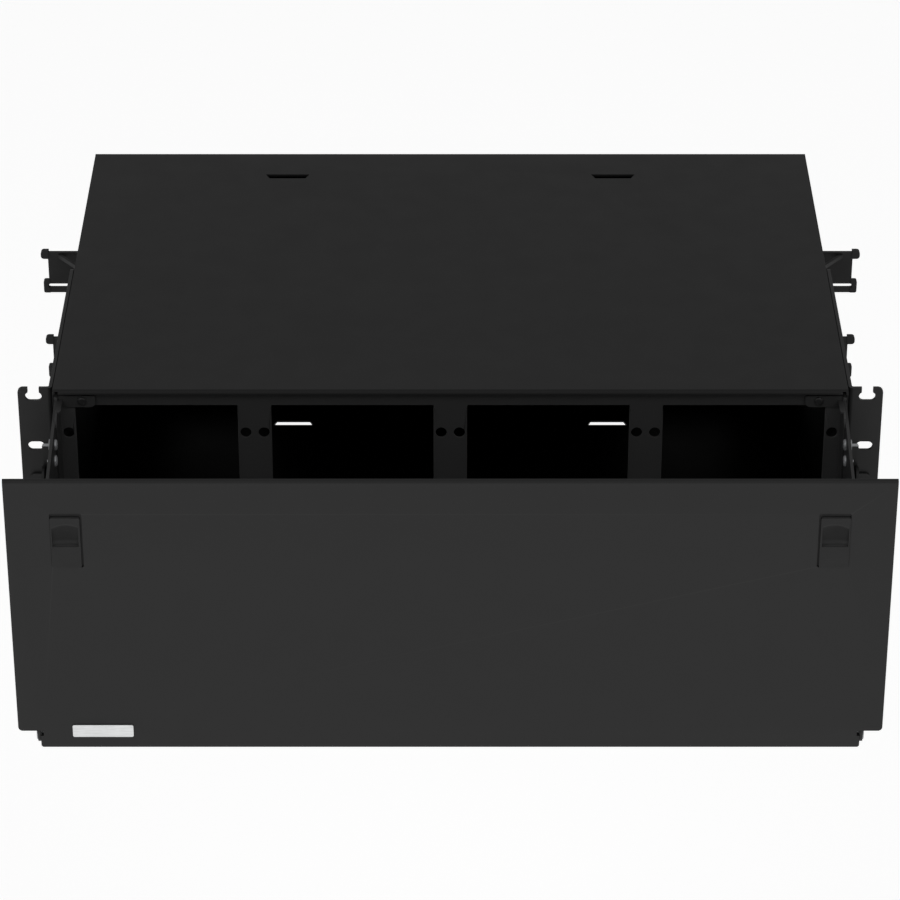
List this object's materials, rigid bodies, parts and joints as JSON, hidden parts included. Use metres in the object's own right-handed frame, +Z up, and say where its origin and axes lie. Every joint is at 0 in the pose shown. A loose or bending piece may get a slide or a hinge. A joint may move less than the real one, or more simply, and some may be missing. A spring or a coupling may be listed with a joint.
{
  "type": "fiber termination box",
  "caption": "Rack-mount sheet-steel fiber termination enclosure with an adapter panel frame, front cable trough, side cable rings and a latched drop-down front door.",
  "frame": {"origin": "centre of the rack-slot pattern, on the front face of the ears", "axes": "+X to the right seen from the front, +Y into the rack, +Z up"},
  "size_m": [0.4924, 0.41, 0.177],
  "materials": {
    "black_powder_coat": "satin",
    "cover_powder_coat": "satin",
    "arm_powder_coat": "satin",
    "frame_powder_coat": "satin",
    "tray_powder_coat": "satin",
    "door_powder_coat": "satin",
    "black_plastic": "matte",
    "rubber": "matte",
    "zinc": "satin",
    "black_zinc": "satin",
    "spring_steel": "satin",
    "badge_metal": "satin",
    "brass": "satin"
  },
  "bodies": {
    "chassis": {"top_cover": "cover_powder_coat", "rear_cover": "cover_powder_coat", "trough_floor": "black_powder_coat", "chassis_tray": "tray_powder_coat", "front_frame": "frame_powder_coat", "ground_stud": "brass", "left_cable_grommet": "rubber", "left_rear_thumbscrew": "black_zinc", "left_rack_bracket": "black_powder_coat", "left_bracket_screws": "black_zinc", "left_hinge_arm": "black_powder_coat", "left_hinge_arm_rivets": "black_zinc", "left_strike_arm": "arm_powder_coat", "left_strike_arm_screws": "zinc", "left_strike_tab_rivet": "black_zinc", "left_hinge_pin": "zinc", "left_cable_ring_upper": "black_plastic", "left_cable_ring_middle": "black_plastic", "left_cable_ring_lower": "black_plastic", "left_ring_rivets": "black_zinc", "left_slack_spool": "black_plastic", "left_spool_screw": "zinc", "right_cable_grommet": "rubber", "right_rear_thumbscrew": "black_zinc", "right_rack_bracket": "black_powder_coat", "right_bracket_screws": "black_zinc", "right_hinge_arm": "black_powder_coat", "right_hinge_arm_rivets": "black_zinc", "right_strike_arm": "arm_powder_coat", "right_strike_arm_screws": "zinc", "right_strike_tab_rivet": "black_zinc", "right_hinge_pin": "zinc", "right_cable_ring_upper": "black_plastic", "right_cable_ring_middle": "black_plastic", "right_cable_ring_lower": "black_plastic", "right_ring_rivets": "black_zinc", "right_slack_spool": "black_plastic", "right_spool_screw": "zinc"},
    "door": {"front_door": "door_powder_coat", "badge_plate": "badge_metal", "left_latch_housing": "black_plastic", "left_latch_spring": "spring_steel", "right_latch_housing": "black_plastic", "right_latch_spring": "spring_steel"},
    "left_latch": {"left_latch_slider": "black_plastic"},
    "right_latch": {"right_latch_slider": "black_plastic"}
  },
  "joints": [
    {"name": "door_hinge", "type": "hinge", "parent": "chassis", "child": "door", "pos_m": [0, -0.0935, -0.0795], "axis": [1, 0, 0], "range_deg": [0, 90]},
    {"name": "left_latch_slide", "type": "slide", "parent": "door", "child": "left_latch", "axis": [0, 0, 1], "range_m": [0, 0.0024], "stiffness_N_per_m": 300, "springref_m": -0.006, "deforming": ["left_latch_spring"]},
    {"name": "right_latch_slide", "type": "slide", "parent": "door", "child": "right_latch", "axis": [0, 0, 1], "range_m": [0, 0.0024], "stiffness_N_per_m": 300, "springref_m": -0.006, "deforming": ["right_latch_spring"]}
  ]
}
